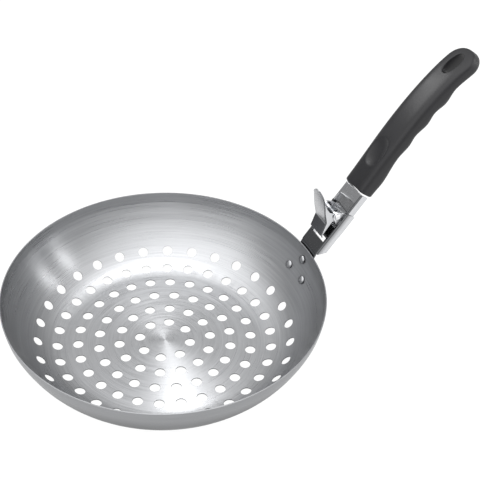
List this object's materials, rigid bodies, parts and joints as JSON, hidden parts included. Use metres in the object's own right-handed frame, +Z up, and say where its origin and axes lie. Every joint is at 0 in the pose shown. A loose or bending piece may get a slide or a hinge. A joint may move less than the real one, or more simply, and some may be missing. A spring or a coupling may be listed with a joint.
{
  "type": "grill wok",
  "caption": "Perforated steel grill wok with a removable handle: riveted wall bracket, slide-in channel, sprung thumb latch and a moulded grip with a hang hole.",
  "frame": {"origin": "middle of the underside of the bowl's flat floor", "axes": "+Z up out of the bowl's mouth, +X from the bowl's axis towards the handle, +Y to the left of the handle as seen from the bowl"},
  "size_m": [0.4659, 0.301, 0.2453],
  "materials": {
    "bowl_steel": "brushed stainless steel",
    "pressed_steel": "smooth pressed stainless steel",
    "rivet_steel": "polished stainless steel",
    "spring_steel": "drawn spring wire",
    "grip_plastic": "satin black plastic"
  },
  "bodies": {
    "bowl": {"wok_bowl": "bowl_steel", "wall_bracket": "pressed_steel", "bracket_rivet_left": "rivet_steel", "bracket_rivet_right": "rivet_steel", "bracket_rivet_top": "rivet_steel"},
    "handle": {"handle_channel": "pressed_steel", "latch_pin": "rivet_steel", "latch_spring": "spring_steel", "grip": "grip_plastic"},
    "latch": {"latch_lever": "pressed_steel"}
  },
  "joints": [
    {"name": "handle_pull", "type": "slide", "parent": "bowl", "child": "handle", "axis": [0.6225, 0, 0.7826], "range_m": [0, 0.06]},
    {"name": "latch_swing", "type": "hinge", "parent": "handle", "child": "latch", "pos_m": [0.17491, 0, 0.10102], "axis": [0, 1, 0], "range_deg": [-8, 30], "stiffness_Nm_per_rad": 0.8}
  ]
}
